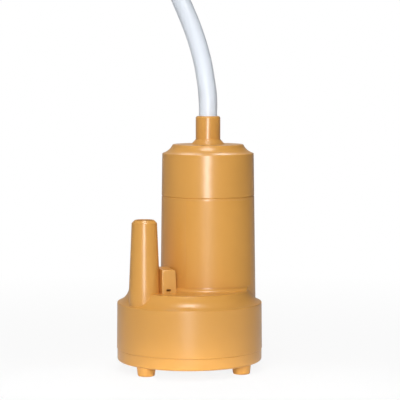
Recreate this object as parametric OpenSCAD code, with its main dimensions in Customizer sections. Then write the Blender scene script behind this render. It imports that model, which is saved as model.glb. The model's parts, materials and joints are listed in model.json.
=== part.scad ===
// Submersible water pump for a caravan's fresh water can.
// An upright motor tube stands off-centre on a short round base with a strainer below.
// The hose tail is at the front left, and the cable leaves the gland on the cap.
// Frame: origin at the base's centre on the surface that the feet stand on, +Z up, millimetres.

/* [Base] */
// Radius of the base at its rim
base_r = 29.6; // [28.8:0.1:33]
// How much wider the base is at its joint with the bottom cover
base_draft = 0.2; // [0:0.1:0.6]
// Height of the base from that joint to its rim
rim_h = 18.9; // [18:0.1:26]
// Height of the hollow shoulder above the rim
shoulder_h = 5.3; // [4.6:0.1:7]
// Radius of the flat top inside the shoulder
flat_r = 24.8; // [23.6:0.1:26]
// Radius of the shoulder's hollow curve
cove_r = 6.85; // [5.5:0.05:10]
// Rounding of the moulded edges
edge_r = 0.4; // [0.1:0.05:0.45]
// Wall of the mouldings
wall = 2; // [1.6:0.1:2.3]

/* [Bottom cover] */
// Height of the feet
foot_h = 3.8; // [2:0.1:8]
// Radius of a foot where it leaves the cover
foot_top_r = 4; // [3:0.1:4.6]
// Radius of a foot at its tip
foot_tip_r = 3.4; // [2:0.1:3.8]
// How far a foot's axis stays inside the cover's rim
foot_inset = 4.8; // [4.4:0.1:8]
// Rounding of a foot's tip
foot_round = 0.5; // [0.2:0.1:1]
// Turn of the first foot about the base's axis
foot_turn = 46; // [0:0.5:90]
// Angle between the two feet of a pair
foot_spread = 102; // [70:1:110]
// Number of pairs of feet
foot_pairs = 2; // [2:1:3]
// Height of the cover's rim
cover_h = 4.9; // [3.2:0.1:6]
// How far the cover's rim stays inside the base's wall
cover_step = 0.2; // [0:0.05:0.6]
// Rounding of the cover's lower edge
cover_round = 0.8; // [0.4:0.1:2]
// Thickness of the cover's floor
cover_floor = 2; // [1.4:0.1:2.6]
// Height of the lip that snaps into the base
lip_h = 3; // [2:0.1:4]
// Wall of that lip
lip_wall = 1.5; // [1:0.1:2]
// Width of a strainer slot
slot_w = 2.4; // [1.2:0.1:3.2]
// Number of strainer slots
slot_count = 12; // [6:1:14]
// Radius where the strainer slots begin
slot_in_r = 8; // [7.6:0.1:10]
// Radius where the strainer slots end
slot_out_r = 19; // [12:0.1:19.4]

/* [Motor tube] */
// Motor axis to the right of the base's centre
motor_x = 7.6; // [6.4:0.1:7.8]
// Motor axis behind the base's centre
motor_y = 5.8; // [4.8:0.1:6]
// Radius of the tube at its foot
tube_foot_r = 19.6; // [19.2:0.05:19.8]
// Radius of the tube's cone at the cap's rim
tube_top_r = 18.8; // [18.6:0.05:19.2]
// Wall of the tube at the cap's rim
tube_wall = 1.9; // [1.6:0.05:2.3]
// Height of the tube from the base's flat top to the seam
tube_h = 37.9; // [36.8:0.1:44]
// Fillet between the tube and the flat top
tube_fillet = 2; // [0.6:0.1:3]
// Chamfer on both sides of the seams
seam_chamfer = 0.25; // [0.05:0.05:0.5]
// Number of ribs that centre the motor
rib_count = 6; // [3:1:8]
// Thickness of a rib
rib_t = 1.6; // [1:0.1:2.4]

/* [Cap] */
// Height of the cap from the seam to its flat top
cap_h = 21; // [20.4:0.1:28]
// Height of the cap's hollow shoulder
cap_shoulder_h = 3.6; // [3.2:0.1:5.2]
// Radius of the cap's flat top
cap_flat_r = 14.5; // [13.6:0.1:15.4]
// Radius of the cap shoulder's hollow curve
cap_cove_r = 6.4; // [4.2:0.1:8]
// Height of the spigot that plugs into the tube
spigot_h = 4; // [2.5:0.1:5]
// Wall of that spigot
spigot_wall = 1.2; // [0.8:0.1:1.3]
// Radius of the cable gland
gland_r = 5.05; // [4.9:0.05:6]
// Height of the cable gland above the cap
gland_h = 11.6; // [8:0.1:16]
// Radius of the gland's coned foot
gland_foot_r = 7; // [6.4:0.1:8]
// Height of that foot
gland_foot_h = 2.1; // [1:0.1:3]
// Rounding of the gland's mouth
gland_round = 0.9; // [0.3:0.1:1]

/* [Hose tail] */
// Tail axis from the base's centre, to the left
tail_left = 18; // [17.4:0.1:18.2]
// Tail axis from the base's centre, to the front
tail_front = 13.7; // [13:0.1:14]
// Radius of the tail at the base's flat top
tail_foot_r = 6.3; // [6.1:0.05:6.7]
// Radius of the tail at its tip
tail_tip_r = 5.1; // [4.9:0.05:5.8]
// Height of the tail above the flat top
tail_h = 29.4; // [20:0.1:40]
// Chamfer of the tail's tip
tail_chamfer = 1.2; // [0.3:0.1:1.3]
// Radius of the outlet bore
tail_bore_r = 3.5; // [2.6:0.1:3.6]

/* [Vent] */
// Width of the vent block
vent_w = 5.4; // [4.8:0.1:6.4]
// Height of the vent block above the flat top
vent_h = 9.8; // [4:0.1:14]
// Length of the vent block from its front face back
vent_len = 12; // [10:0.1:13]
// Turn of the vent block about the upright
vent_turn = 14; // [8:0.5:20]
// Front left corner of the block, to the left of the base's centre
vent_left = 10.8; // [10.4:0.1:11.2]
// Front left corner of the block, to the front of the base's centre
vent_front = 18.6; // [18:0.1:19]
// Rounding of the block's upper right edge
vent_round = 1; // [0.3:0.1:1.5]
// Rounding of the block's front edges
vent_edge = 0.5; // [0.2:0.1:0.8]
// How much wider the block is at its foot
vent_draft = 0.5; // [0:0.1:0.8]
// Distance of the ball's passage behind the front face
vent_back = 5.6; // [4.6:0.1:6.4]
// Radius of the ball
ball_r = 1.4; // [1.2:0.05:1.45]
// Radius of the ball's passage
ball_bore_r = 1.7; // [1.6:0.05:1.8]
// Radius of the passage above the seat
seat_r = 1; // [0.8:0.05:1.1]
// Lift of the ball from its bush to its seat
ball_lift = 1.8; // [1:0.1:2.4]
// Width of the vent's outlet
vent_slot_w = 1.8; // [1.2:0.1:2]
// Height of the vent's outlet
vent_slot_h = 1.8; // [1.2:0.1:2.2]
// Height of the outlet above the flat top
vent_slot_rise = 0.2; // [0.1:0.1:0.6]
// Share of the outlet's height that its sill closes
vent_sill = 0.55; // [0.3:0.05:0.6]
// How far the sill stands behind the front face
vent_sill_back = 0.5; // [0.3:0.1:1]
// Length of the bush under the ball
bush_len = 3.4; // [2:0.1:3.8]
// Bore of that bush
bush_bore_r = 0.8; // [0.5:0.05:1]

/* [Pump chamber] */
// Radius of the pump chamber
chamber_r = 17; // [16:0.1:17.2]
// Height of the pump chamber
chamber_h = 11.5; // [11:0.1:12]
// Wall of the chamber and the duct
chamber_wall = 1.8; // [1.4:0.1:1.9]
// Width of the duct to the hose tail
duct_w = 7.4; // [7.3:0.1:7.6]
// Height of the duct to the hose tail
duct_h = 7; // [5:0.1:7]
// Thickness of the plate that closes the chamber
plate_t = 2; // [1.4:0.1:2.4]
// Radius of the inlet eye
eye_r = 6; // [5:0.1:7]
// Height of the motor's floor above the base's flat top
floor_rise = 1; // [0.6:0.1:1.4]
// Thickness of the partition between motor and chamber
partition_t = 6; // [5.6:0.1:6.4]
// Radius of the circle of plate screws about the motor axis
screw_ring_r = 21; // [20.4:0.1:21.2]
// Radius of a screw boss
screw_boss_r = 2.6; // [2.2:0.1:2.8]
// Radius of a screw's shank
screw_r = 1.1; // [0.8:0.05:1.3]
// Radius of a screw's head
screw_head_r = 2.1; // [1.6:0.05:2.2]
// Height of a screw's head
screw_head_h = 1.4; // [0.8:0.1:1.8]
// Length of a screw's shank
screw_len = 8; // [5:0.1:9]

/* [Impeller] */
// Radius of the impeller
impeller_r = 14; // [12:0.1:15]
// Height of the vanes
vane_h = 6.4; // [4:0.1:6.6]
// Thickness of a vane
vane_t = 1.4; // [1:0.1:2]
// Number of vanes
vane_count = 6; // [3:1:7]
// Thickness of the impeller's disc
disc_t = 1.4; // [1:0.1:1.6]
// Radius of the impeller's hub
hub_r = 4; // [3.2:0.1:4.4]
// Gap between the vanes and the chamber's plate
vane_gap = 1.2; // [0.8:0.1:1.4]

/* [Shaft seal] */
// Outer radius of the seal
seal_r = 5; // [4.6:0.1:5.4]
// Height of the seal
seal_h = 2; // [1.6:0.1:2.2]
// Height of the ring that holds the seal
retainer_h = 0.8; // [0.5:0.1:0.9]
// Wire radius of the seal's garter spring
garter_r = 0.4; // [0.3:0.05:0.42]

/* [Motor] */
// Radius of the motor's can
can_r = 15.25; // [15:0.05:15.3]
// How far the motor's can stands above the seam
can_rise = 1.1; // [0.6:0.1:1.6]
// Wall of the can
can_wall = 1.2; // [0.8:0.1:1.4]
// Thickness of the end bell
bell_t = 3; // [2:0.1:4]
// Height of the end bell's spigot inside the can
bell_spigot_h = 3.5; // [2:0.1:4]
// Radius of the bearing bosses at both ends
boss_r = 5; // [4.6:0.1:5.2]
// Height of the bearing bosses
boss_h = 2; // [1.4:0.1:2.1]
// Radius of the shaft
shaft_r = 1.585; // [1.5:0.005:1.7]
// Outer radius of the bushes
bearing_r = 3.3; // [2.8:0.1:3.8]
// Thickness of the magnets
magnet_t = 3; // [2:0.1:3.2]
// How far the magnets reach past each end of the armature's core
magnet_over = 2; // [0:0.1:2.4]
// Air gap between the magnets and the armature
air_gap = 0.5; // [0.3:0.05:0.9]
// Space between the winding and the lower thrust washer
core_clear = 2.5; // [1.6:0.1:6]
// Number of armature slots
slot_poles = 5; // [3:1:6]
// Radius of the winding in a slot
slot_wire_r = 2.2; // [1.6:0.1:2.3]
// Height of the winding beyond each end of the core
winding_h = 3.9; // [2:0.1:4]
// Radius of the commutator
commutator_r = 4.2; // [3.8:0.1:4.6]
// Radius of the commutator's hub
commutator_hub_r = 3; // [2.6:0.1:3.2]
// Height of the commutator
commutator_h = 4.4; // [3.2:0.1:4.6]
// Length of a carbon brush
brush_len = 3; // [2:0.1:3.6]
// Width of a carbon brush
brush_w = 3; // [2:0.1:3.6]
// Height of a carbon brush
brush_h = 2.6; // [1.6:0.1:2.8]
// Thickness of a brush arm
arm_t = 0.4; // [0.2:0.05:0.6]
// Thickness of the damper ring on the motor
damper_t = 3; // [2:0.1:4]
// Width of the damper ring
damper_w = 3; // [2:0.1:3.4]
// Distance of a terminal from the motor's axis
terminal_r = 8.75; // [8.2:0.05:9.4]
// Height of a terminal
terminal_h = 4; // [2.5:0.1:4.6]
// Radius of the suppression capacitor
capacitor_r = 3.6; // [2.6:0.1:4]
// Thickness of the suppression capacitor
capacitor_t = 2.4; // [1.6:0.1:3]

/* [Cable] */
// Radius of the cable
cable_r = 3.75; // [3.4:0.05:3.75]
// Radius of an insulated core
core_r = 1.3; // [0.9:0.05:1.4]
// Length of the bared cores at the far end
core_len = 32; // [20:1:34]
// Length of a ferrule
ferrule_len = 8; // [5:0.5:12]
// Length of cable inside the cap, below the gland
cable_tail = 7.6; // [7.5:0.1:8]
// Height of the resin around the cable
potting_h = 3.5; // [2:0.1:4]
// Radius of that resin
potting_r = 6.5; // [5.6:0.1:7]
// Width of the tie round the hank
tie_w = 5; // [3:0.5:10]
// Thickness of that tie
tie_t = 1.2; // [0.6:0.1:1.4]

/* [Label] */
// Thickness of the label's film
label_t = 0.12; // [0.05:0.01:0.2]
// Gap of adhesive between the label and the tube
label_gap = 0.08; // [0.02:0.01:0.15]
// Gap between the label and the base's flat top
label_rise = 2; // [2:0.1:14]
// Gap between the label and the seam
label_drop = 1; // [0.6:0.1:2]
// Angle of the label round the tube
label_span = 88; // [40:1:120]
// Where the label starts, about the motor axis
label_start = -117; // [-125:1:-100]

/* [Fits] */
// Radial clearance of turning and sliding fits
run_gap = 0.05; // [0.02:0.01:0.09]
// Radial clearance of pressed and glued fits
press_gap = 0.02; // [0.01:0.01:0.05]
// Radial clearance of plugged and snapped fits
plug_gap = 0.1; // [0.05:0.01:0.2]

/* [Hidden] */
$fn = 96;
// Overlap of cutting tools past the faces that they cut
cut = 1;
abs_ochre = "#d9a052";
steel = "#b9bcc2";
copper = "#b4703c";
rubber = "#2f2f31";
cable_white = "#e6eaf2";

// Heights
joint_z = foot_h + cover_h;
rim_z = joint_z + rim_h;
flat_z = rim_z + shoulder_h;
seam_z = flat_z + tube_h;
cap_z = seam_z + cap_h;
cap_rim_z = cap_z - cap_shoulder_h;
gland_z = cap_z + gland_h;
floor_z = flat_z + floor_rise;
ceiling_z = floor_z - partition_t;
plate_z = ceiling_z - chamber_h;
duct_z = plate_z + duct_h;
tail_z = flat_z + tail_h;
root_z = rim_z - wall / 2;

// Base and bottom cover
base_foot_r = base_r + base_draft;
base_in_r = base_r - wall;
cover_r = base_foot_r - cover_step;
foot_ring_r = cover_r - foot_inset;
lip_r = base_in_r - plug_gap;

// Tube and cap
function tube_r(z) = tube_foot_r + (tube_top_r - tube_foot_r) * (z - flat_z) / (cap_rim_z - flat_z);
tube_in_r = tube_top_r - tube_wall;
spigot_r = tube_in_r - plug_gap;
rib_in_r = can_r + plug_gap;
cap_ceiling_z = cap_z - wall;
cable_bore_r = cable_r + run_gap;

// Duct from the pump chamber to the hose tail, along the chamber's side
duct_inset = 0.5;
duct_narrow = 0.05;
tail_at = [-tail_left, -tail_front];
motor_at = [motor_x, motor_y];
duct_span = norm(motor_at - tail_at);
duct_offset = chamber_r - duct_w / 2 - duct_inset;
duct_turn = atan2(motor_y + tail_front, motor_x + tail_left) - asin(duct_offset / duct_span);
duct_len = sqrt(duct_span * duct_span - duct_offset * duct_offset);
screw_turns = [140, 205, 295];
screw_z = plate_z - plate_t;
pilot_gap = 0.6;

// Vent
seat_z = flat_z - vent_slot_rise;
ball_contact = sqrt(ball_r * ball_r - seat_r * seat_r);
ball_z = seat_z - ball_contact - run_gap - ball_lift;
bush_z = ball_z - run_gap - sqrt(ball_r * ball_r - bush_bore_r * bush_bore_r);

// Motor
can_in_r = can_r - can_wall;
can_top_z = seam_z + can_rise;
bell_top_z = can_top_z + bell_t;
damper_top_z = bell_top_z + damper_t;
magnet_out_r = can_in_r - press_gap;
magnet_in_r = magnet_out_r - magnet_t;
armature_r = magnet_in_r - air_gap;
brush_gap = 0.5;
commutator_z = can_top_z - brush_gap / 2 - commutator_h;
bush_bottom_z = floor_z - boss_h + brush_gap / 2;
bush_top_z = floor_z + can_wall + 1;
brush_z = can_top_z - brush_gap - brush_h;
washer_t = 0.3;
core_z = bush_top_z + run_gap + washer_t + core_clear + winding_h;
core_h = commutator_z - brush_gap - winding_h - core_z;
magnet_z = core_z - magnet_over;
magnet_h = core_h + 2 * magnet_over;
shaft_bore_r = shaft_r + press_gap;
shaft_run_r = shaft_r + run_gap;

// Impeller on the shaft
vane_z = plate_z + vane_gap;
disc_z = vane_z + vane_h;
hub_z = plate_z + brush_gap;
hub_top_z = ceiling_z - 1;
clip_t = 0.8;
clip_r = 3;
shaft_low_z = hub_z - clip_t - brush_gap;
shaft_top_z = bell_top_z + boss_h - brush_gap;

// Seal, from the chamber's ceiling up
seal_z = ceiling_z + retainer_h;
seal_top_z = seal_z + seal_h;
seal_wall = 0.8;
shaft_hole_r = shaft_r + 0.6;
garter_ring_r = shaft_r + seal_wall + garter_r + plug_gap;

// Cable inside the cap
cable_low_z = cap_z - cable_tail;
potting_z = cap_ceiling_z - potting_h;
relief_h = 2;
relief_r = cable_r + 1.8;
lead_r = 0.8;
lead_pitch = 1.5;
terminal_top_z = bell_top_z + terminal_h;

// Free stretch of the cable, from the gland's mouth to the hank, points chosen by hand
cable_route = [
    [motor_x, motor_y, gland_z], [7.6, 5.8, 111], [6.7, 6.3, 118], [5.5, 7.3, 125], [3.7, 9, 132],
    [1.4, 11.5, 139], [-1.4, 15, 146], [-4.4, 19, 153], [-7.4, 24.5, 161], [-10, 32, 168.5],
    [-11.4, 42, 173], [-11, 53, 172.5], [-9, 63, 167], [-5.8, 70.5, 158.5], [-2.4, 75, 149],
    [1, 77.5, 140], [4, 78.8, 131], [6.3, 79, 120], [7.5, 79, 108], [7.7, 79, 94],
    [7.3, 79, 78], [6.6, 79, 62], [5.8, 79.6, 48], [5.1, 83, 34.5], [4.6, 90.5, 23.5],
    [4.3, 101, 16.5], [4.3, 113.5, 13.5]
];

// Hank behind the pump: loops in two layers, drawn in at the waist, with folds of three diameters
hank_at = [0, 121];
hank_half = 75;
hank_waist = 4.3;
hank_straight = 6;
hank_fold_r = 6 * cable_r;
hank_fold_y = hank_half - hank_fold_r;
hank_pitch = 8.2;
hank_lift = 1.55;
hank_from = 90;
hank_to = 750;
hank_step = 15;
drop_from = 400;
drop_to = 440;
function hank_layer(u) =
    u < drop_from ? 1 : u > drop_to ? 0 : (1 + cos(180 * (u - drop_from) / (drop_to - drop_from))) / 2;
function swell(f) = f * f * f * (10 - 15 * f + 6 * f * f);
function hank_wide(y) =
    y > hank_fold_y
    ? sqrt(max(0, pow(hank_fold_r, 2) - pow(y - hank_fold_y, 2)))
    : hank_waist
        + (hank_fold_r - hank_waist) * swell(max(0, (y - hank_straight) / (hank_fold_y - hank_straight)));
function hank_point(u) =
    let (y = -hank_half * cos(u))
    [
        hank_at.x + sign(sin(u)) * hank_wide(abs(y)),
        hank_at.y + y,
        cable_r + hank_pitch * hank_layer(u) + hank_lift * pow(sin(u), 2)
    ];
hank_start = hank_point(hank_from) - [0, 2 * cable_r, 0];
hank_exit = unit(hank_point(hank_to + 1) - hank_point(hank_to - 1));
hank_end = hank_point(hank_to) + 2 * cable_r * hank_exit;
hank_route = concat(
    [hank_start],
    [for (u = [hank_from:hank_step:hank_to]) hank_point(u)],
    [hank_end]
);

// Cores at the far end, from the sheath's end down to the floor
core_side = unit(cross(hank_exit, [0, 0, 1]));
core_splay = 2.5;
core_bend = 20;
function ease(f) = f * f * (3 - 2 * f);
function core_point(side, f) =
    hank_end + hank_exit * core_len * f
    + core_side * (side * (lead_pitch + core_splay * f * f) - core_bend * f * f)
    + [0, 0, (core_r - hank_end.z - hank_exit.z * core_len * f) * ease(f)];
function core_route(side) = [for (i = [0:6]) core_point(side, i / 6)];
function core_exit(side) =
    let (d = core_point(side, 1) - core_point(side, 0.98))
    unit([d.x, d.y, 0]);

// Shared geometry
function unit(v) = v / norm(v);

// One corner b of an outline, rounded to radius r between its neighbours a and c
function round_corner(a, b, c, r, n = 6) =
    let (
        u = unit(a - b),
        v = unit(c - b),
        half = acos(u * v) / 2,
        m = b + unit(u + v) * r / sin(half),
        p = b + u * r / tan(half) - m,
        q = b + v * r / tan(half) - m,
        from = atan2(p.y, p.x),
        turn = atan2(q.y, q.x) - from,
        sweep = turn > 180 ? turn - 360 : turn < -180 ? turn + 360 : turn
    )
    [for (i = [0:n]) m + r * [cos(from + sweep * i / n), sin(from + sweep * i / n)]];

// Outline through corners that are each [x, y, rounding radius]
function flat(p) = [p.x, p.y];
function outline(p) = [
    for (i = [0:len(p) - 1])
        let (a = flat(p[(i + len(p) - 1) % len(p)]), b = flat(p[i]), c = flat(p[(i + 1) % len(p)]))
        each p[i].z > 0 ? round_corner(a, b, c, p[i].z) : [b]
];

// Corners of a hollow curve of radius r between points a and b, bulging to the left of a to b
function cove(a, b, r, n = 14) =
    let (
        d = unit(b - a),
        half = norm(b - a) / 2,
        m = (a + b) / 2 + [d.y, -d.x] * sqrt(r * r - half * half),
        from = atan2(a.y - m.y, a.x - m.x),
        turn = atan2(b.y - m.y, b.x - m.x) - from,
        sweep = turn > 180 ? turn - 360 : turn < -180 ? turn + 360 : turn
    )
    [for (i = [1:n - 1]) [m.x + r * cos(from + sweep * i / n), m.y + r * sin(from + sweep * i / n), 0]];

module at_motor() {
    translate([motor_x, motor_y, 0]) children();
}

module at_tail() {
    translate([-tail_left, -tail_front, 0]) children();
}

module at_vent() {
    translate([-vent_left, -vent_front, 0]) rotate(vent_turn) children();
}

module at_ball() {
    at_vent() translate([vent_w / 2, vent_back, 0]) children();
}

module at_screws() {
    at_motor()
        for (turn = screw_turns)
            rotate(turn) translate([screw_ring_r, 0, 0]) children();
}

// Upright tube or disc between two heights
module ring(outer_r, inner_r, low_z, high_z) {
    translate([0, 0, low_z])
        difference() {
            cylinder(r = outer_r, h = high_z - low_z);
            translate([0, 0, -cut]) cylinder(r = inner_r, h = high_z - low_z + 2 * cut);
        }
}

module post(r, low_z, high_z) {
    translate([0, 0, low_z]) cylinder(r = r, h = high_z - low_z);
}

// Round tube along points, square at both ends to the directions given there
module tube(p, r, sides, across, start, end) {
    last = len(p) - 1;
    along = [
        for (i = [0:last])
            i == 0 ? start : i == last ? end : unit(unit(p[i + 1] - p[i]) + unit(p[i] - p[i - 1]))
    ];
    rings = [
        for (i = [0:last])
            let (n = unit(cross(along[i], across)), b = cross(along[i], n))
            for (k = [0:sides - 1]) p[i] + r * (cos(360 * k / sides) * n + sin(360 * k / sides) * b)
    ];
    low_cap = [for (k = [1:sides - 2]) [0, k + 1, k]];
    high_cap = [for (k = [1:sides - 2]) [last * sides, last * sides + k, last * sides + k + 1]];
    skin = [
        for (i = [0:last - 1], k = [0:sides - 1])
            let (a = i * sides + k, b = i * sides + (k + 1) % sides)
            each [[a, b, b + sides], [a, b + sides, a + sides]]
    ];
    polyhedron(points = rings, faces = concat(low_cap, skin, high_cap));
}

// Housing: base ring, shoulder, motor tube, hose tail and vent block in one moulding
module base_shell() {
    rim = [base_r, rim_z];
    top = [flat_r, flat_z];
    difference() {
        rotate_extrude()
            polygon(outline(concat(
                [[0, joint_z, 0], [base_foot_r, joint_z, seam_chamfer], [base_r, rim_z, edge_r]],
                cove(rim, top, cove_r),
                [[flat_r, flat_z, edge_r], [0, flat_z, 0]]
            )));
        rotate_extrude()
            polygon([
                [0, joint_z - cut], [base_in_r, joint_z - cut], [base_in_r, rim_z - 1.7 * wall],
                [flat_r - wall, flat_z - wall], [0, flat_z - wall]
            ]);
    }
}

module tube_outside() {
    rotate_extrude()
        polygon([
            [0, root_z], [tube_r(root_z), root_z], [tube_r(seam_z - seam_chamfer), seam_z - seam_chamfer],
            [tube_r(seam_z) - seam_chamfer, seam_z], [0, seam_z]
        ]);
}

module tube_foot() {
    sunk = 0.05;
    foot = [tube_foot_r + tube_fillet, flat_z - sunk];
    neck = [tube_foot_r - sunk, flat_z + tube_fillet];
    bend = [for (p = cove(foot, neck, tube_fillet, 10)) flat(p)];
    intersection() {
        at_motor()
            rotate_extrude()
                polygon(concat(
                    [[tube_in_r, root_z], [foot.x, root_z], foot],
                    bend,
                    [neck, [tube_in_r, neck.y]]
                ));
        post(flat_r - edge_r, root_z, seam_z);
    }
}

module tail_outside() {
    rotate_extrude()
        polygon(outline([
            [0, root_z, 0], [tail_foot_r, root_z, 0], [tail_foot_r, flat_z, 0],
            [tail_tip_r, tail_z - tail_chamfer, edge_r], [tail_tip_r - tail_chamfer, tail_z, 0],
            [0, tail_z, 0]
        ]));
}

// What a rounding takes off an edge along +Z, with the solid on the side of +X and +Y
module edge_off(r, h) {
    linear_extrude(h)
        polygon(concat([[-cut, r], [-cut, -cut], [r, -cut]], round_corner([1, 0], [0, 0], [0, 1], r)));
}

module vent_outside() {
    low_z = flat_z - wall / 2;
    high_z = flat_z + vent_h;
    at_vent()
        difference() {
            translate([0, vent_len, 0])
                rotate([90, 0, 0])
                    linear_extrude(vent_len)
                        polygon(outline([
                            [0, low_z, 0], [vent_w + vent_draft, low_z, 0],
                            [vent_w, high_z, vent_round], [0, high_z, edge_r]
                        ]));
            translate([0, 0, low_z - cut]) edge_off(vent_edge, high_z - low_z + 2 * cut);
            translate([-cut, 0, high_z])
                rotate([0, 90, 0]) edge_off(vent_edge, vent_w + vent_draft + 2 * cut);
        }
}

// Way out of the vent, over a sill behind the front face
module vent_outlet() {
    low_z = flat_z + vent_slot_rise;
    sill_z = low_z + vent_sill * vent_slot_h;
    high_z = low_z + vent_slot_h;
    sill_y = vent_sill_back - vent_back;
    translate([-vent_slot_w / 2, 0, 0])
        rotate([90, 0, 90])
            linear_extrude(vent_slot_w)
                polygon([
                    [-vent_back - cut, low_z], [sill_y, low_z], [sill_y, sill_z - seam_chamfer],
                    [sill_y + seam_chamfer, sill_z], [0, sill_z], [0, high_z], [-vent_back - cut, high_z]
                ]);
}

// Plan of the duct, widened by a margin
module duct_plan(margin) {
    translate(tail_at) {
        circle(r = duct_w / 2 + margin);
        rotate(duct_turn)
            translate([0, duct_narrow - duct_w / 2 - margin])
                square([duct_len, duct_w + 2 * (margin - duct_narrow)]);
    }
}

module chamber_plan() {
    translate(motor_at) circle(r = chamber_r + chamber_wall);
    duct_plan(chamber_wall);
}

module chamber_walls() {
    translate([0, 0, plate_z]) linear_extrude(flat_z - wall / 2 - plate_z) chamber_plan();
    at_screws() post(screw_boss_r, plate_z + pilot_gap / 2, rim_z + wall / 2);
}

module housing_cuts() {
    at_motor() {
        post(tube_in_r, floor_z, seam_z + cut);
        post(chamber_r, plate_z - cut, ceiling_z);
        post(seal_r, ceiling_z - cut, seal_top_z);
        post(shaft_hole_r, seal_top_z - cut, floor_z);
        post(boss_r + plug_gap, floor_z - boss_h - plug_gap, floor_z + cut);
    }
    translate([0, 0, plate_z - cut]) linear_extrude(duct_h + cut) duct_plan(0);
    at_tail() post(tail_bore_r, duct_z - cut, tail_z + cut);
    at_ball() {
        post(ball_bore_r, duct_z - cut, seat_z);
        post(seat_r, seat_z - cut, flat_z + vent_slot_rise + vent_slot_h * (1 + vent_sill) / 2);
        vent_outlet();
    }
    at_screws() post(screw_r + press_gap, plate_z - cut, screw_z + screw_len + pilot_gap);
}

module motor_ribs() {
    at_motor()
        for (i = [0:rib_count - 1])
            rotate(360 * i / rib_count)
                translate([rib_in_r, -rib_t / 2, floor_z - wall / 2])
                    cube([
                        tube_in_r + wall / 2 - rib_in_r, rib_t,
                        seam_z - spigot_h - cut - floor_z + wall / 2
                    ]);
}

module pump_housing() {
    color(abs_ochre) {
        difference() {
            union() {
                base_shell();
                at_motor() tube_outside();
                tube_foot();
                at_tail() tail_outside();
                vent_outside();
                chamber_walls();
            }
            housing_cuts();
        }
        motor_ribs();
    }
}

// Cap with the cable gland, plugged and glued into the tube at the seam
module cap_outside() {
    rim = [tube_r(cap_rim_z), cap_rim_z];
    top = [cap_flat_r, cap_z];
    rotate_extrude()
        polygon(outline(concat(
            [
                [0, seam_z, 0], [tube_r(seam_z) - seam_chamfer, seam_z, 0],
                [tube_r(seam_z + seam_chamfer), seam_z + seam_chamfer, 0], [rim.x, rim.y, edge_r]
            ],
            cove(rim, top, cap_cove_r),
            [
                [cap_flat_r, cap_z, edge_r], [gland_foot_r, cap_z, edge_r],
                [gland_r, cap_z + gland_foot_h, edge_r], [gland_r, gland_z, gland_round], [0, gland_z, 0]
            ]
        )));
}

module cap_hollow() {
    rotate_extrude()
        polygon([
            [0, seam_z - cut], [tube_in_r, seam_z - cut], [tube_in_r, cap_rim_z - wall],
            [cap_flat_r - wall / 2, cap_ceiling_z], [0, cap_ceiling_z]
        ]);
}

module top_cap() {
    color(abs_ochre) at_motor() {
        difference() {
            union() {
                difference() {
                    cap_outside();
                    cap_hollow();
                }
                ring(potting_r + wall, potting_r, potting_z, cap_z - wall / 2);
            }
            post(cable_bore_r, cap_ceiling_z - cut, gland_z + cut);
        }
        ring(spigot_r, spigot_r - spigot_wall, seam_z - spigot_h, seam_z);
        ring(tube_in_r + wall / 2, spigot_r - spigot_wall, seam_z, seam_z + wall);
        for (turn = [45, 135, 225, 315])
            rotate(turn)
                translate([can_r - damper_w, -rib_t / 2, damper_top_z])
                    cube([
                        tube_in_r + wall / 2 - can_r + damper_w, rib_t,
                        cap_rim_z - 1.5 * wall - damper_top_z
                    ]);
    }
}

// Bottom cover with feet and strainer slots, snapped into the base
module cover_outside() {
    rotate_extrude()
        polygon(outline([
            [0, foot_h, 0], [cover_r, foot_h, cover_round], [cover_r, joint_z, seam_chamfer],
            [lip_r, joint_z, 0], [lip_r, joint_z + lip_h, edge_r],
            [lip_r - lip_wall, joint_z + lip_h, edge_r], [lip_r - lip_wall, foot_h + cover_floor, 0],
            [0, foot_h + cover_floor, 0]
        ]));
}

module strainer_slot() {
    translate([slot_in_r, 0]) circle(d = slot_w);
    translate([slot_out_r, 0]) circle(d = slot_w);
    translate([slot_in_r, -slot_w / 2]) square([slot_out_r - slot_in_r, slot_w]);
}

// One foot, a tapered peg with a rounded tip
module foot() {
    top_z = foot_h + cover_floor / 2;
    translate([foot_ring_r, 0, 0])
        rotate_extrude()
            polygon(outline([
                [0, 0, 0], [foot_tip_r, 0, foot_round], [foot_top_r, top_z, 0], [0, top_z, 0]
            ]));
}

module bottom_cover() {
    color(abs_ochre) {
        difference() {
            cover_outside();
            for (i = [0:slot_count - 1])
                rotate(360 * i / slot_count)
                    translate([0, 0, foot_h - cut])
                        linear_extrude(cover_floor + 2 * cut) strainer_slot();
        }
        for (i = [0:foot_pairs - 1], turn = [0, foot_spread])
            rotate(foot_turn + 360 * i / foot_pairs + turn) foot();
    }
}

// Clear film on the tube, below the seam
module rating_label() {
    high_z = seam_z - label_drop;
    low_z = flat_z + label_rise;
    color("#e8b56f") at_motor()
        rotate(label_start)
            rotate_extrude(angle = label_span)
                polygon([
                    [tube_r(low_z) + label_gap, low_z], [tube_r(low_z) + label_gap + label_t, low_z],
                    [tube_r(high_z) + label_gap + label_t, high_z], [tube_r(high_z) + label_gap, high_z]
                ]);
}

// Plate that closes the chamber and the duct, with the inlet eye
module volute_plate() {
    color(abs_ochre)
        translate([0, 0, screw_z])
            linear_extrude(plate_t)
                difference() {
                    intersection() {
                        circle(r = base_in_r - plug_gap);
                        union() {
                            chamber_plan();
                            at_screws() circle(r = screw_boss_r);
                        }
                    }
                    translate(motor_at) circle(r = eye_r);
                    at_screws() circle(r = screw_r + press_gap);
                }
}

module plate_screws() {
    color(steel) at_screws() {
        post(screw_r, screw_z, screw_z + screw_len);
        post(screw_head_r, screw_z - screw_head_h, screw_z);
    }
}

// Lip seal round the shaft, with its garter spring and the ring that holds it
module shaft_seal() {
    color(rubber) at_motor()
        difference() {
            ring(seal_r - press_gap, shaft_run_r, seal_z, seal_top_z);
            ring(
                garter_ring_r + garter_r + plug_gap, shaft_r + seal_wall,
                seal_z - cut, seal_z + 2.5 * garter_r
            );
        }
}

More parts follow.
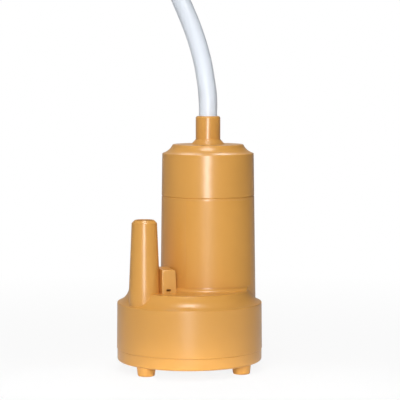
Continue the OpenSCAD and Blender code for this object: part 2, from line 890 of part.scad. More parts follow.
module seal_spring() {
    color(steel) at_motor()
        translate([0, 0, seal_z + garter_r + plug_gap])
            rotate_extrude() translate([garter_ring_r, 0]) circle(r = garter_r);
}

module seal_retainer() {
    color(steel) at_motor() ring(seal_r - press_gap, shaft_hole_r, ceiling_z, seal_z);
}

// Self-venting valve: water lifts the ball from its bush to its seat
module vent_bush() {
    color("#c9c3b4") at_ball() ring(ball_bore_r - press_gap, bush_bore_r, bush_z - bush_len, bush_z);
}

module vent_ball() {
    color(steel) at_ball() translate([0, 0, ball_z]) sphere(r = ball_r);
}

// Impeller with curved vanes under a disc
module vane() {
    intersection() {
        circle(r = impeller_r - plug_gap);
        difference() {
            translate([0, impeller_r / 2]) circle(r = impeller_r / 2 + vane_t / 2);
            translate([0, impeller_r / 2]) circle(r = impeller_r / 2 - vane_t / 2);
        }
        translate([0, hub_r / 2]) square([impeller_r, impeller_r]);
    }
}

module impeller() {
    color("#e9e4d6") at_motor()
        difference() {
            union() {
                post(hub_r, hub_z, hub_top_z);
                post(impeller_r, disc_z, disc_z + disc_t);
                translate([0, 0, vane_z])
                    linear_extrude(vane_h + disc_t / 2)
                        for (i = [0:vane_count - 1]) rotate(360 * i / vane_count) vane();
            }
            post(shaft_bore_r, hub_z - cut, hub_top_z + cut);
        }
}

module impeller_clip() {
    color(steel) at_motor() ring(clip_r, shaft_bore_r, hub_z - clip_t, hub_z);
}

// Rotor
module motor_shaft() {
    color(steel) at_motor() post(shaft_r, shaft_low_z, shaft_top_z);
}

module slot_places() {
    for (i = [0:slot_poles - 1])
        rotate(360 * i / slot_poles) translate([armature_r - slot_wire_r - 1.2, 0, 0]) children();
}

module armature_core() {
    color("#7d7f84") at_motor()
        difference() {
            ring(armature_r, shaft_bore_r, core_z, core_z + core_h);
            slot_places() {
                post(slot_wire_r + press_gap, core_z - cut, core_z + core_h + cut);
                translate([0, -slot_wire_r / 3, core_z - cut])
                    cube([2 * slot_wire_r, slot_wire_r / 1.5, core_h + 2 * cut]);
            }
        }
}

module armature_windings() {
    end_r = armature_r - 0.8;
    color(copper) at_motor() {
        ring(end_r, shaft_r + 1.4, core_z - winding_h, core_z);
        ring(end_r, shaft_r + 1.4, core_z + core_h, core_z + core_h + winding_h);
        slot_places() post(slot_wire_r, core_z - winding_h / 2, core_z + core_h + winding_h / 2);
    }
}

module commutator_hub() {
    color("#5a3a28") at_motor()
        ring(commutator_hub_r, shaft_bore_r, commutator_z, commutator_z + commutator_h);
}

module commutator_segments() {
    color(copper) at_motor()
        difference() {
            ring(commutator_r, commutator_hub_r + press_gap, commutator_z, commutator_z + commutator_h);
            for (i = [0:slot_poles - 1])
                rotate(360 * i / slot_poles)
                    translate([0, -washer_t / 2, commutator_z - cut])
                        cube([commutator_r + cut, washer_t, commutator_h + 2 * cut]);
        }
}

module thrust_washers() {
    color("#d8d0b8") at_motor() {
        ring(bearing_r - 0.4, shaft_bore_r, bush_top_z + run_gap, bush_top_z + run_gap + washer_t);
        ring(
            commutator_hub_r - 0.2, shaft_bore_r, commutator_z + commutator_h,
            commutator_z + commutator_h + washer_t
        );
    }
}

// Motor's fixed pieces
module motor_can() {
    color(steel) at_motor()
        difference() {
            union() {
                post(can_r, floor_z, can_top_z);
                post(boss_r, floor_z - boss_h, floor_z + can_wall / 2);
            }
            post(can_in_r, floor_z + can_wall, can_top_z + cut);
            post(bearing_r + press_gap, floor_z - boss_h - cut, floor_z + can_wall + cut);
        }
}

module field_magnets() {
    color("#3c3c40") at_motor()
        for (turn = [30, 210])
            rotate(turn)
                rotate_extrude(angle = 120)
                    translate([magnet_in_r, magnet_z]) square([magnet_t, magnet_h]);
}

module magnet_clips() {
    color(steel) at_motor()
        for (turn = [-28, 152])
            rotate(turn)
                rotate_extrude(angle = 56)
                    translate([magnet_out_r - 0.8, magnet_z + magnet_h / 4]) square([0.8, magnet_h / 2]);
}

module drive_end_bush() {
    color("#a98a5a") at_motor() ring(bearing_r, shaft_run_r, bush_bottom_z, bush_top_z);
}

module end_bell() {
    color("#26262a") at_motor()
        difference() {
            union() {
                post(can_r, can_top_z, bell_top_z);
                post(boss_r, bell_top_z - bell_t / 2, bell_top_z + boss_h);
                ring(magnet_out_r, magnet_out_r - 1.2, can_top_z - bell_spigot_h, can_top_z + bell_t / 2);
            }
            post(bearing_r + press_gap, can_top_z - cut, bell_top_z + boss_h + cut);
        }
}

module rear_bush() {
    color("#a98a5a") at_motor()
        ring(bearing_r, shaft_run_r, can_top_z + brush_gap, bell_top_z + boss_h - brush_gap / 2);
}

module at_brushes() {
    at_motor()
        for (turn = [0, 180])
            rotate(turn) children();
}

module carbon_brushes() {
    color("#38373a") at_brushes()
        translate([commutator_r + run_gap, -brush_w / 2, brush_z])
            cube([brush_len, brush_w, brush_h]);
}

module brush_arms() {
    color(copper) at_brushes()
        translate([commutator_r + run_gap + brush_len, -brush_w / 2, brush_z])
            cube([arm_t, brush_w, can_top_z - brush_z]);
}

module motor_terminals() {
    color("#c8b26a") at_brushes()
        translate([terminal_r - arm_t, -brush_w / 2, bell_top_z])
            cube([2 * arm_t, brush_w, terminal_h]);
}

module motor_damper() {
    color(rubber) at_motor() ring(can_r, can_r - damper_w, bell_top_z, damper_top_z);
}

module suppression_capacitor() {
    color("#b5622e") at_motor()
        translate([0, boss_r + brush_gap, bell_top_z + capacitor_r])
            rotate([-90, 0, 0]) cylinder(r = capacitor_r, h = capacitor_t);
}

// Leads from the terminals to the cable, side 1 or -1
module lead(side) {
    from = [side * terminal_r, 0, terminal_top_z];
    to = [side * lead_pitch, 0, cable_low_z];
    route = [
        for (i = [0:8])
            let (f = i / 8)
            [from.x + (to.x - from.x) * ease(f), 0, from.z + (to.z - from.z) * f]
    ];
    at_motor() tube(route, lead_r, 8, [0, 1, 0], [0, 0, 1], [0, 0, 1]);
}

module lead_positive() {
    color("#a8322a") lead(1);
}

module lead_negative() {
    color("#222226") lead(-1);
}

// Cable inside the cap and gland, its resin and its tie
module cable_inner() {
    color(cable_white) at_motor() post(cable_r, cable_low_z, gland_z);
}

module strain_relief_tie() {
    color("#f1efe6") at_motor() ring(relief_r, cable_r + press_gap, potting_z - relief_h, potting_z);
}

module gland_potting() {
    color("#1d1d1f") at_motor() ring(potting_r - press_gap, cable_r + press_gap, potting_z, cap_ceiling_z);
}

// Lead outside the pump
module cable() {
    color(cable_white) tube(cable_route, cable_r, 10, [1, 0, 0], [0, 0, 1], [0, 1, 0]);
}

module cable_hank() {
    color(cable_white) tube(hank_route, cable_r, 6, [0, 0, 1], [0, 1, 0], hank_exit);
}

module rounded_plan(w, h, r) {
    square([w - 2 * r, h], center = true);
    square([w, h - 2 * r], center = true);
    for (x = [-1, 1], y = [-1, 1])
        translate([x * (w / 2 - r), y * (h / 2 - r)]) circle(r = r);
}

module hank_tie() {
    slack = 0.4;
    inner_w = 2 * (hank_waist + cable_r + slack);
    inner_h = hank_pitch + 2 * (cable_r + plug_gap);
    color("#3a3a3e")
        translate([hank_at.x, hank_at.y + tie_w / 2, cable_r + hank_lift + hank_pitch / 2])
            rotate([90, 0, 0])
                linear_extrude(tie_w)
                    difference() {
                        rounded_plan(inner_w + 2 * tie_t, inner_h + 2 * tie_t, cable_r + plug_gap + tie_t);
                        rounded_plan(inner_w, inner_h, cable_r + plug_gap);
                    }
}

module core_positive() {
    color("#a8322a") tube(core_route(1), core_r, 8, [0, 0, 1], hank_exit, core_exit(1));
}

module core_negative() {
    color("#222226") tube(core_route(-1), core_r, 8, [0, 0, 1], hank_exit, core_exit(-1));
}

module core_ferrules() {
    color(steel)
        for (side = [1, -1])
            translate(core_point(side, 1))
                rotate([0, 90, atan2(core_exit(side).y, core_exit(side).x)])
                    cylinder(r = core_r - 0.2, h = ferrule_len);
}

// Least gap of the hank to itself, and the lengths of the lead's stretches
function span_gap(p, a, b) =
    let (d = b - a, f = min(1, max(0, (p - a) * d / (d * d))))
    norm(p - a - f * d);
function self_gap(p, apart) = min([
    for (i = [0:len(p) - 1], k = [0:len(p) - 2])
        if (abs(i - k) > apart && abs(i - k - 1) > apart) span_gap(p[i], p[k], p[k + 1])
]) - 2 * cable_r;
function length(p, i = 0) = i == len(p) - 1 ? 0 : norm(p[i + 1] - p[i]) + length(p, i + 1);
echo(hank_least_gap = self_gap(hank_route, 6));
echo(free_length = length(cable_route), hank_length = length(hank_route));

pump_housing();
top_cap();
bottom_cover();
rating_label();
volute_plate();
plate_screws();
shaft_seal();
seal_spring();
seal_retainer();
vent_bush();
vent_ball();
impeller();
impeller_clip();
motor_shaft();
armature_core();
armature_windings();
commutator_hub();
commutator_segments();
thrust_washers();
motor_can();
field_magnets();
magnet_clips();
drive_end_bush();
end_bell();
rear_bush();
carbon_brushes();
brush_arms();
motor_terminals();
motor_damper();
suppression_capacitor();
lead_positive();
lead_negative();
cable_inner();
strain_relief_tie();
gland_potting();
cable();
cable_hank();
hank_tie();
core_positive();
core_negative();
core_ferrules();
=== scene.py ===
# %% [markdown]
# # A caravan water pump, dressed for its portrait
# The real pump is a submersible one: a motor in an upright tube, on a short round base that holds the
# pump chamber, all moulded in ochre plastic. A white cable leaves through a gland in the cap.
# The hard pieces are already there at their real size, so this lesson adds what they lack: the cable's
# smooth run, a finish for every surface, a floor, light and a camera.

# %% Load the frame
import json
import math

import bpy
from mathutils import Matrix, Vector


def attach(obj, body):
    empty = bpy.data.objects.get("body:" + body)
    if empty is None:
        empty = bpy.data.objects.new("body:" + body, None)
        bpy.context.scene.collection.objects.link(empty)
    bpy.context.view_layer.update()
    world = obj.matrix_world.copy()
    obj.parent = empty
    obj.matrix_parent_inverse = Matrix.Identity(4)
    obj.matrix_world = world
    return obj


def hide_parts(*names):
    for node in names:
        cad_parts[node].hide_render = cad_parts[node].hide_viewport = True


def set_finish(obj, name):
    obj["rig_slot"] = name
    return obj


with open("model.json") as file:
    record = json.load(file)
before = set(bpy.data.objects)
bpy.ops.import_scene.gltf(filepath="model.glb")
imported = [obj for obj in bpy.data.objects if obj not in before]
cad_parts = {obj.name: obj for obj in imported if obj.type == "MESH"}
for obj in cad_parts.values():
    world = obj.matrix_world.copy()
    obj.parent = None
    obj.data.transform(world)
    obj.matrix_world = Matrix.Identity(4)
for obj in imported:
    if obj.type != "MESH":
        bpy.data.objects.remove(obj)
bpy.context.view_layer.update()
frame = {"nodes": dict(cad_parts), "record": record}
MM = 0.001


# %% [markdown]
# ## Camera
# A product photograph like this one is taken from well back with a long lens, so the upright sides stay
# nearly parallel. The camera could be framed by eye, but its height shows in how far each round edge
# sags in the middle. So its distance, height and pitch were worked out from those ovals.

# %% Camera at the photograph's viewing angle
CAMERA_AT = (4.32 * MM, -680 * MM, 122.67 * MM)
CAMERA_PITCH = math.radians(4.49)
CAMERA_LENS = 150.29
CAMERA_SENSOR = 36.0


def put_in_scene(name, data):
    """Makes an object of a camera, curve, mesh or lamp and links it to the scene."""
    made = bpy.data.objects.new(name, data)
    bpy.context.scene.collection.objects.link(made)
    return made


lens = bpy.data.cameras.new("portrait_camera")
lens.sensor_width = CAMERA_SENSOR
lens.lens = CAMERA_LENS
camera = put_in_scene("portrait_camera", lens)
camera.location = CAMERA_AT
camera.rotation_euler = (math.radians(90) - CAMERA_PITCH, 0, 0)
bpy.context.scene.camera = camera
print("camera:", CAMERA_AT, "pitch:", round(math.degrees(CAMERA_PITCH), 2))

# %% [markdown]
# ## The cable's run
# About a metre of round, white, two-core cable comes with such a pump. It rises from the gland, leans to
# the left and back, falls behind the pump and ends in a hank that a band holds. It could be a mesh tube,
# but a curve with a round bevel keeps one smooth line that can be measured. The free stretch is a list of
# given points, and the hank's loops follow a formula. Points and sizes here are in millimetres.

# %% Points of the free stretch, from the gland's mouth to the hank
CABLE_D = 7.5
CABLE_ROUTE = [
    (7.6, 5.8, 103.4), (7.6, 5.8, 111), (6.7, 6.3, 118), (5.5, 7.3, 125), (3.7, 9, 132),
    (1.4, 11.5, 139), (-1.4, 15, 146), (-4.4, 19, 153), (-7.4, 24.5, 161), (-10, 32, 168.5),
    (-11.4, 42, 173), (-11, 53, 172.5), (-9, 63, 167), (-5.8, 70.5, 158.5), (-2.4, 75, 149),
    (1, 77.5, 140), (4, 78.8, 131), (6.3, 79, 120), (7.5, 79, 108), (7.7, 79, 94),
    (7.3, 79, 78), (6.6, 79, 62), (5.8, 79.6, 48), (5.1, 83, 34.5), (4.6, 90.5, 23.5),
    (4.3, 101, 16.5), (4.3, 113.5, 13.5),
]
ROUTE_STEPS = 6


def smooth_run(points):
    """A curve through all the points: each stretch bends with its neighbours."""
    p = [Vector(q) for q in points]
    p = [2 * p[0] - p[1]] + p + [2 * p[-1] - p[-2]]
    run = []
    for a, b, c, d in zip(p, p[1:], p[2:], p[3:]):
        slope, bend, turn = c - a, 2 * a - 5 * b + 4 * c - d, 3 * b - a - 3 * c + d
        for i in range(ROUTE_STEPS):
            f = i / ROUTE_STEPS
            run.append(b + slope * f / 2 + bend * f**2 / 2 + turn * f**3 / 2)
    return run + [p[-2]]


free_run = smooth_run(CABLE_ROUTE)
print("free stretch:", len(free_run), "points")

# %% Loops of the hank, in two layers and drawn in at the waist
HANK_AT = (0, 121)
HANK_HALF = 75
HANK_WAIST = 4.3
HANK_STRAIGHT = 6
HANK_FOLD_R = 3 * CABLE_D
HANK_FOLD_Y = HANK_HALF - HANK_FOLD_R
HANK_PITCH = 8.2
HANK_LIFT = 1.55
HANK_FROM, HANK_TO, HANK_STEP = 90, 750, 5
DROP_FROM, DROP_TO = 400, 440


def hank_layer(u):
    """1 on the upper layer, 0 on the lower one, and a soft step between them."""
    f = min(max((u - DROP_FROM) / (DROP_TO - DROP_FROM), 0), 1)
    return (1 + math.cos(math.pi * f)) / 2


def hank_wide(y):
    """Half the hank's width at a distance from its waist: a round fold, then a soft draw-in."""
    if y > HANK_FOLD_Y:
        return math.sqrt(max(0, HANK_FOLD_R**2 - (y - HANK_FOLD_Y)**2))
    f = max(0, (y - HANK_STRAIGHT) / (HANK_FOLD_Y - HANK_STRAIGHT))
    return HANK_WAIST + (HANK_FOLD_R - HANK_WAIST) * f**3 * (10 - 15 * f + 6 * f**2)


def hank_point(u):
    """Where the cable's middle is after u degrees of winding."""
    s, c = math.sin(math.radians(u)), math.cos(math.radians(u))
    return Vector((
        HANK_AT[0] + math.copysign(hank_wide(abs(HANK_HALF * c)), s),
        HANK_AT[1] - HANK_HALF * c,
        CABLE_D / 2 + HANK_PITCH * hank_layer(u) + HANK_LIFT * s**2,
    ))


hank_exit = (hank_point(HANK_TO + 1) - hank_point(HANK_TO - 1)).normalized()
hank_end = hank_point(HANK_TO) + CABLE_D * hank_exit
hank_run = [hank_point(u) for u in range(HANK_FROM, HANK_TO + 1, HANK_STEP)] + [hank_end]
print("hank:", len(hank_run), "points, ends at", tuple(round(c, 1) for c in hank_end))

# %% One round curve for the sheath
CABLE_SIDES = 6


def round_cord(name, points, radius, sides):
    """A curve through points in millimetres, with a round section and closed ends."""
    curve = bpy.data.curves.new(name, "CURVE")
    curve.dimensions = "3D"
    curve.bevel_depth = 1.0
    curve.bevel_resolution = sides
    curve.use_fill_caps = True
    line = curve.splines.new("POLY")
    line.points.add(len(points) - 1)
    for spot, p in zip(line.points, points):
        spot.co = (*(Vector(p) * MM), 1)
        spot.radius = radius * MM
    return put_in_scene(name, curve)


cable_points = free_run + hank_run
cable_length = sum((b - a).length for a, b in zip(cable_points, cable_points[1:])) * MM
cable = round_cord("cable_run", cable_points, CABLE_D / 2, CABLE_SIDES)
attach(cable, "body")
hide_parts("cable", "cable_hank")
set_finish(cable, "white_sheath")
print("cable:", round(cable_length, 3), "m")

# %% [markdown]
# ## The bared cores
# At the far end the sheath is cut back and two insulated cores, red and black, come out with crimped
# ferrules, ready for the van's switch. Each core lies down to the floor in one easy bend, so one formula
# serves both with the side as its sign.

# %% Two cores from the sheath's end to the floor
CORE_R = 1.3
CORE_LEN = 32
CORE_PITCH = 1.5
CORE_SPLAY = 2.5
CORE_BEND = 20
CORE_STEPS = 24
CORE_SIDES = 4
CORES = {"core_positive": (1, "red_insulation"), "core_negative": (-1, "black_insulation")}

core_side = hank_exit.cross(Vector((0, 0, 1))).normalized()


def core_point(side, f):
    """A core's middle at the share f of its length, on side 1 or -1."""
    spread = side * (CORE_PITCH + CORE_SPLAY * f**2) - CORE_BEND * f**2
    drop = (CORE_R - hank_end.z - hank_exit.z * CORE_LEN * f) * f**2 * (3 - 2 * f)
    return hank_end + hank_exit * CORE_LEN * f + core_side * spread + Vector((0, 0, drop))


cores = []
for core_node, (side, core_slot) in CORES.items():
    points = [core_point(side, i / CORE_STEPS) for i in range(CORE_STEPS + 1)]
    core = round_cord(core_node + "_run", points, CORE_R, CORE_SIDES)
    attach(core, "body")
    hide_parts(core_node)
    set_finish(core, core_slot)
    cores.append(core)

print("cores:", [core.name for core in cores])

# %% [markdown]
# ## Soft shading on machined meshes
# The hard pieces come as exact faces cut into triangles, and each face brings its own points. So light
# breaks at every small facet of a rounded edge. Welding the points, splitting only the truly sharp edges
# and weighting the normals by face area lets a moulded edge shade as one curve. These are modifiers, so
# the meshes stay as they are.

# %% Weld, split and weight the normals of every shown node
WELD_GAP = 0.002 * MM
SHARP_ANGLE = math.radians(32)


def soften(piece):
    """Rounded edges shade smoothly, and edges past the sharp angle stay crisp."""
    weld = piece.modifiers.new("weld", "WELD")
    weld.merge_threshold = WELD_GAP
    split = piece.modifiers.new("crisp_edges", "EDGE_SPLIT")
    split.split_angle = SHARP_ANGLE
    split.use_edge_sharp = False
    weigh = piece.modifiers.new("even_normals", "WEIGHTED_NORMAL")
    weigh.mode = "FACE_AREA"


shown = [piece for piece in frame["nodes"].values() if not piece.hide_render]
for piece in shown:
    soften(piece)
print("softened:", len(shown), "nodes")

# %% [markdown]
# ## Writing shaders as sums
# A finish is a small network of nodes. Drawn by hand it is clear, but in code it grows long, so one class
# wraps a socket and lets Python's operators add the Math nodes, and another holds a material and adds
# any other node by its type.

# %% Sockets that can be added and multiplied
class Socket:
    """An output of a shader node. Each operator adds one Math node."""

    def __init__(self, finish, output):
        self.finish = finish
        self.output = output

    def math(self, operation, first, second):
        return self.finish.node("ShaderNodeMath", {"operation": operation}, {0: first, 1: second})

    def __add__(self, other):
        return self.math("ADD", self, other)

    def __sub__(self, other):
        return self.math("SUBTRACT", self, other)

    def __rsub__(self, other):
        return self.math("SUBTRACT", other, self)

    def __mul__(self, other):
        return self.math("MULTIPLY", self, other)

    __radd__ = __add__
    __rmul__ = __mul__


print("sockets take + - and *")

# %% A material that adds its own nodes
class Finish:
    """A material, or the world, and the one method that adds nodes to it."""

    def __init__(self, name, kind=bpy.data.materials):
        self.owner = kind.new(name)
        self.owner.use_nodes = True
        self.nodes = self.owner.node_tree.nodes
        self.links = self.owner.node_tree.links
        self.nodes.clear()

    def node(self, kind, settings=None, sockets=None, output=None):
        """Adds a node, its settings first, then values or links, and returns one of its outputs."""
        made = self.nodes.new(kind)
        for name, value in (settings or {}).items():
            setattr(made, name, value)
        free = [s for s in made.inputs if s.enabled]
        for name, value in (sockets or {}).items():
            socket = free[name] if isinstance(name, int) else next(s for s in free if s.name == name)
            if isinstance(value, Socket):
                self.links.new(value.output, socket)
            else:
                socket.default_value = value
        outputs = [s for s in made.outputs if s.enabled and output in (None, s.name)]
        return Socket(self, outputs[0]) if outputs else None

    def where(self):
        """The place on the piece, in metres in the frame, so that patterns have a real size."""
        return self.node("ShaderNodeTexCoord", output="Object")

    def noise(self, size_mm, detail=2.0, stretch=(1, 1, 1)):
        """Soft noise whose blots are about size_mm across, from 0 to 1."""
        spot = self.where()
        if stretch != (1, 1, 1):
            spot = self.node("ShaderNodeMapping", None, {"Vector": spot, "Scale": stretch})
        scale = 1 / (size_mm * MM)
        return self.node("ShaderNodeTexNoise", None, {"Vector": spot, "Scale": scale, "Detail": detail})

    def tint(self, dark, pale, share):
        """A colour between two, by a share that varies over the surface."""
        ends = {"A": (*dark, 1), "B": (*pale, 1)}
        return self.node("ShaderNodeMix", {"data_type": "RGBA"}, {"Factor": share, **ends})

    def relief(self, height, depth_mm):
        """Bumps of a depth in millimetres."""
        depth = depth_mm * MM
        return self.node("ShaderNodeBump", None, {"Strength": 1.0, "Distance": depth, "Height": height})

    def surface(self, sockets):
        """The shader itself and the material's output."""
        shader = self.node("ShaderNodeBsdfPrincipled", None, sockets)
        self.node("ShaderNodeOutputMaterial", None, {"Surface": shader})
        return self.owner


print("shader helpers ready")

# %% [markdown]
# ## Ochre plastic
# The housing, the cap and the cover are moulded in one ochre plastic with a satin skin. Up close, such
# plastic has a fine spark texture from the mould and faint clouds where it flowed. The texture goes into
# the bump and the roughness, and the clouds into the colour by a few hundredths only.

# %% The moulded plastic of the housing, and the other plastics made like it
OCHRE = (0.69, 0.345, 0.078)
OCHRE_DEEP = (0.65, 0.315, 0.064)
CLOUD_MM = 24
CLOUD_TINT, GRAIN_TINT = 0.8, 0.2
CLOUD_GLOSS, GRAIN_GLOSS = 0.06, 0.08
GRAIN_DEPTH = 0.006
PLASTIC_IOR = 1.53
# Deep colour, pale colour, roughness and, where it isn't the usual one, the grain in millimetres
PLASTICS = {
    "ochre_plastic": (OCHRE_DEEP, OCHRE, 0.3),
    "pale_plastic": ((0.70, 0.66, 0.56), (0.80, 0.77, 0.68), 0.42),
    "black_plastic": ((0.020, 0.020, 0.023), (0.032, 0.032, 0.036), 0.45),
    "capacitor_body": ((0.36, 0.095, 0.03), (0.48, 0.15, 0.05), 0.3, 0.8),
    "red_insulation": ((0.34, 0.02, 0.014), (0.44, 0.04, 0.028), 0.4, 0.3),
    "black_insulation": ((0.016, 0.016, 0.018), (0.026, 0.026, 0.03), 0.4, 0.3),
}


def moulded_plastic(name, deep, pale, roughness, grain_mm=0.35):
    """Satin moulded plastic with flow clouds and a fine grain."""
    finish = Finish(name)
    clouds = finish.noise(CLOUD_MM, detail=3)
    grain = finish.noise(grain_mm)
    return finish.surface({
        "Base Color": finish.tint(deep, pale, clouds * CLOUD_TINT + grain * GRAIN_TINT),
        "Roughness": roughness + (clouds - 0.5) * CLOUD_GLOSS + (grain - 0.5) * GRAIN_GLOSS,
        "Normal": finish.relief(grain, GRAIN_DEPTH),
        "IOR": PLASTIC_IOR,
    })


finishes = {name: moulded_plastic(name, *look) for name, look in PLASTICS.items()}
print("plastics:", sorted(finishes))

# %% [markdown]
# ## White sheath
# The cable's sheath is soft white vinyl with a cool cast. A plain white would look like paint, so its tone
# drifts a little along the cable, and a fine skin makes its gloss slightly uneven.

# %% The cable's sheath
SHEATH_DEEP = (0.74, 0.79, 0.86)
SHEATH_PALE = (0.80, 0.85, 0.92)
DRIFT_MM, SKIN_MM = 14, 0.5
DRIFT_TINT, SKIN_TINT = 0.7, 0.3
SKIN_GLOSS, SKIN_DEPTH = 0.1, 0.008
SHEATH_ROUGHNESS, SHEATH_IOR = 0.4, 1.52


def soft_sheath():
    """Soft white vinyl, a little cool and uneven in gloss."""
    finish = Finish("white_sheath")
    drift = finish.noise(DRIFT_MM, detail=3)
    skin = finish.noise(SKIN_MM, detail=3)
    return finish.surface({
        "Base Color": finish.tint(SHEATH_DEEP, SHEATH_PALE, drift * DRIFT_TINT + skin * SKIN_TINT),
        "Roughness": SHEATH_ROUGHNESS + (skin - 0.5) * SKIN_GLOSS,
        "Normal": finish.relief(skin, SKIN_DEPTH),
        "IOR": SHEATH_IOR,
    })


finishes["white_sheath"] = soft_sheath()
print("sheath ready")

# %% [markdown]
# ## Label film
# The tube carries a clear film. A see-through layer over the plastic would cost a lot and show little, so
# the film takes the colour of the plastic under it. Its skin is duller, so the upright sheen of the cap
# fades where the film begins. It is left bare.

# %% The clear film on the tube
RIPPLE_MM, RIPPLE_GLOSS, RIPPLE_DEPTH = 3, 0.06, 0.004
FILM_ROUGHNESS, FILM_SPECULAR, FILM_IOR = 0.4, 0.3, 1.5


def clear_film():
    """Film over ochre plastic: the same colour, with a duller skin."""
    finish = Finish("label_film")
    clouds = finish.noise(CLOUD_MM, detail=3)
    ripple = finish.noise(RIPPLE_MM)
    return finish.surface({
        "Base Color": finish.tint(OCHRE_DEEP, OCHRE, clouds),
        "Roughness": FILM_ROUGHNESS + (ripple - 0.5) * RIPPLE_GLOSS,
        "Specular IOR Level": FILM_SPECULAR,
        "Normal": finish.relief(ripple, RIPPLE_DEPTH),
        "IOR": FILM_IOR,
    })


finishes["label_film"] = clear_film()
print("film ready")

# %% [markdown]
# ## Metals, rubber and iron inside
# Inside are a steel can, a stack of iron sheets, copper wire, sintered bushes and rubber. They don't show
# while the pump is closed, but each gets what makes it readable when the pump is opened: brushed streaks
# on steel, sheet lines on the core, turns on the copper and pores in the bushes.

# %% Marks that metals carry
def brushed(finish):
    """Fine streaks that run round an upright piece."""
    return finish.noise(1.2, detail=4, stretch=(1, 1, 14))


def bands(finish, direction, per_mm, wobble):
    """Lines that repeat across a piece."""
    wave = {"wave_type": "BANDS", "bands_direction": direction}
    sockets = {"Vector": finish.where(), "Scale": per_mm / MM, "Distortion": wobble}
    return finish.node("ShaderNodeTexWave", wave, sockets)


def sheet_lines(finish):
    """The edges of stacked iron sheets."""
    return bands(finish, "Z", 0.31, 0.4)


def wire_turns(finish):
    """Turns of wire that lie side by side."""
    return bands(finish, "DIAGONAL", 0.5, 1.2)


def pores(finish):
    """The open grain of sintered metal."""
    return finish.noise(0.35, detail=4)


print("marks:", [marks.__name__ for marks in (brushed, sheet_lines, wire_turns, pores)])

# %% Steel, iron, copper, bronze and rubber
MARK_GLOSS = 0.16
BLOOM_MM, BLOOM_GLOSS = 4, 0.14
RUBBER_DEEP, RUBBER_PALE = (0.018, 0.018, 0.02), (0.04, 0.04, 0.043)
RUBBER_ROUGHNESS, RUBBER_GRAIN_MM, RUBBER_DEPTH = 0.68, 0.4, 0.01
# Dark colour, pale colour, roughness, marks and the depth of the marks in millimetres
METALS = {
    "steel": ((0.44, 0.45, 0.47), (0.62, 0.63, 0.65), 0.32, brushed, 0.002),
    "iron": ((0.09, 0.09, 0.10), (0.17, 0.17, 0.18), 0.5, sheet_lines, 0.02),
    "copper": ((0.42, 0.15, 0.06), (0.66, 0.29, 0.13), 0.34, wire_turns, 0.06),
    "bronze": ((0.34, 0.20, 0.08), (0.50, 0.32, 0.15), 0.46, pores, 0.01),
}


def metal(name, dark, pale, roughness, marks, depth_mm):
    """A metal whose marks vary its tone, its gloss and its relief."""
    finish = Finish(name)
    pattern = marks(finish)
    return finish.surface({
        "Base Color": finish.tint(dark, pale, pattern),
        "Metallic": 1.0,
        "Roughness": roughness + (pattern - 0.5) * MARK_GLOSS,
        "Normal": finish.relief(pattern, depth_mm),
    })


def rubber_skin():
    """Matt black rubber with a dusty bloom."""
    finish = Finish("black_rubber")
    bloom = finish.noise(BLOOM_MM, detail=4)
    return finish.surface({
        "Base Color": finish.tint(RUBBER_DEEP, RUBBER_PALE, bloom),
        "Roughness": RUBBER_ROUGHNESS + (bloom - 0.5) * BLOOM_GLOSS,
        "Normal": finish.relief(finish.noise(RUBBER_GRAIN_MM), RUBBER_DEPTH),
    })


for name, look in METALS.items():
    finishes[name] = metal(name, *look)
finishes["black_rubber"] = rubber_skin()
print("metals and rubber ready")

# %% Give every node and piece its finish
def dress(piece, slot):
    """Puts a finish on a piece, in place of what it came with."""
    piece.data.materials.clear()
    piece.data.materials.append(finishes[slot])


for part in frame["record"]["subparts"]:
    dress(frame["nodes"][part["node"]], part["material_slot"])
for piece in (cable, *cores):
    dress(piece, piece["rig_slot"])

# %% [markdown]
# ## Floor and light
# The photograph has a white ground and no edge between floor and wall. A lit white floor would need far
# more light than the pump can take, so the floor shows white to the camera by itself, and keeps a part
# of its true shading near the pump, where the shadow falls. The world does the same for what lies behind.
# Shiny surfaces mirror only a share of that white, from the paper close by and from straight behind, since
# all of it would lay a pale veil over the ochre.
# A tall, narrow lamp close to the camera gives the upright sheen on the tube. A small one straight above
# the front lights the rim and the shoulder, a weak, narrow beam lights the feet and the paper before
# them, and a wide lamp behind keeps the back readable.

# %% Helpers for what shows white
def seen_directly(finish, gloss):
    """1 for camera rays and through clear pieces, a share of it in glossy ones, 0 for light on things."""
    path = "ShaderNodeLightPath"
    camera_ray = finish.node(path, output="Is Camera Ray")
    glossy_ray = finish.node(path, output="Is Glossy Ray")
    clear_ray = finish.node(path, output="Is Transmission Ray")
    return camera_ray + glossy_ray * gloss + clear_ray


def ramp(finish, value, low, high):
    """0 below low, 1 above high, and even between them."""
    return finish.node("ShaderNodeMapRange", None, {"Value": value, "From Min": low, "From Max": high})


def part_of(finish, vector, axis):
    """One of a vector's three numbers."""
    return finish.node("ShaderNodeSeparateXYZ", None, {"Vector": vector}, output=axis)


print("helpers for the floor and the world ready")

# %% A white floor that keeps the shadow
PAPER = (0.85, 0.85, 0.85, 1)
FLOOR_HALF = 3.0
SHADOW_NEAR, SHADOW_FAR = 0.05, 0.32
SHADOW_SHARE = 0.12
SHEEN_NEAR, SHEEN_FAR = 0.15, 0.35
SHEEN_SHARE = 0.3
WALL_FROM, WALL_TO = 0.6, 1.5


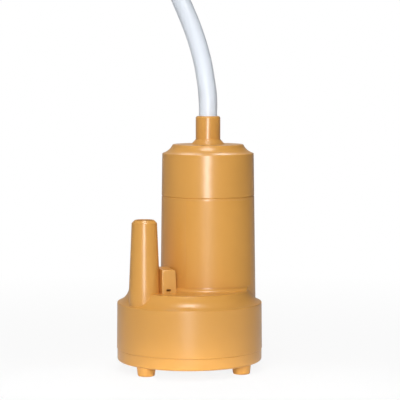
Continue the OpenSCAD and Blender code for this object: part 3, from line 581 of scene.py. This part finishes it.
def paper_floor():
    """White paper: part of its true shading shows near the pump, and plain white far off."""
    finish = Finish("paper_floor")
    length = {"operation": "LENGTH"}
    away = finish.node("ShaderNodeVectorMath", length, {0: finish.where()}, output="Value")
    shaded = SHADOW_SHARE * (1 - ramp(finish, away, SHADOW_NEAR, SHADOW_FAR))
    close_by = 1 - ramp(finish, away, SHEEN_NEAR, SHEEN_FAR)
    far_back = ramp(finish, part_of(finish, finish.where(), "Y"), WALL_FROM, WALL_TO)
    gloss = SHEEN_SHARE * (close_by + far_back)
    paper = finish.node("ShaderNodeBsdfDiffuse", None, {"Color": PAPER})
    white = finish.node("ShaderNodeEmission", None, {"Strength": 1.0})
    shows_white = seen_directly(finish, gloss) * (1 - shaded)
    mixed = finish.node("ShaderNodeMixShader", None, {0: shows_white, 1: paper, 2: white})
    finish.node("ShaderNodeOutputMaterial", None, {"Surface": mixed})
    # The white lights nothing, so no light samples are spent on it, and the weak lamps show less grain.
    finish.owner.cycles.emission_sampling = "NONE"
    return finish.owner


corners = [(x * FLOOR_HALF, y * FLOOR_HALF, 0) for x, y in ((-1, -1), (1, -1), (1, 1), (-1, 1))]
sheet = bpy.data.meshes.new("floor")
sheet.from_pydata(corners, [], [(0, 1, 2, 3)])
sheet.materials.append(paper_floor())
floor = put_in_scene("floor", sheet)
print("floor:", 2 * FLOOR_HALF, "m wide")

# %% A dim, even world that shows white
WORLD_FILL = 0.19
WORLD_LEFT = 0.14
BACK_FROM = 0.8

finish = Finish("studio", bpy.data.worlds)
toward = finish.node("ShaderNodeTexCoord", output="Generated")
fill = WORLD_FILL - WORLD_LEFT * part_of(finish, toward, "X")
straight_back = ramp(finish, part_of(finish, toward, "Y"), BACK_FROM, 1)
seen = seen_directly(finish, SHEEN_SHARE * straight_back)
level = fill + seen * (1 - fill)
sky = finish.node("ShaderNodeBackground", None, {"Color": (1, 1, 1, 1), "Strength": level})
finish.node("ShaderNodeOutputWorld", None, {"Surface": sky})
bpy.context.scene.world = finish.owner
print("world:", WORLD_FILL, "in the middle, brighter to the left")

# %% Four lamps
PUMP_MIDDLE = (0, 0, 0.055)
LAMPS = {
    "strip_by_the_camera": {
        "at": (-0.02, -0.73, 0.12), "aim": PUMP_MIDDLE,
        "wide": 0.12, "tall": 0.17, "power": 2.9, "spread": 180,
    },
    "lamp_over_the_front": {
        "at": (0, -0.09, 0.32), "aim": (0, -0.09, 0),
        "wide": 0.08, "tall": 0.1, "power": 0.105, "spread": 80,
    },
    "lamp_on_the_feet": {
        "at": (0, -0.25, 0.1), "aim": (0, -0.03, -0.004),
        "wide": 0.16, "tall": 0.01, "power": 0.009, "spread": 10,
    },
    "softbox_behind": {
        "at": (0, 0.55, 0.75), "aim": PUMP_MIDDLE,
        "wide": 0.4, "tall": 0.3, "power": 2.6, "spread": 180,
    },
}

for name, lamp in LAMPS.items():
    glow = bpy.data.lights.new(name, "AREA")
    glow.shape = "RECTANGLE"
    glow.size, glow.size_y = lamp["wide"], lamp["tall"]
    glow.energy = lamp["power"]
    glow.spread = math.radians(lamp["spread"])
    stand = put_in_scene(name, glow)
    stand.location = lamp["at"]
    beam = Vector(lamp["aim"]) - Vector(lamp["at"])
    stand.rotation_euler = beam.to_track_quat("-Z", "Y").to_euler()
bpy.context.scene.view_settings.view_transform = "Standard"
print("lamps:", {name: lamp["power"] for name, lamp in LAMPS.items()})
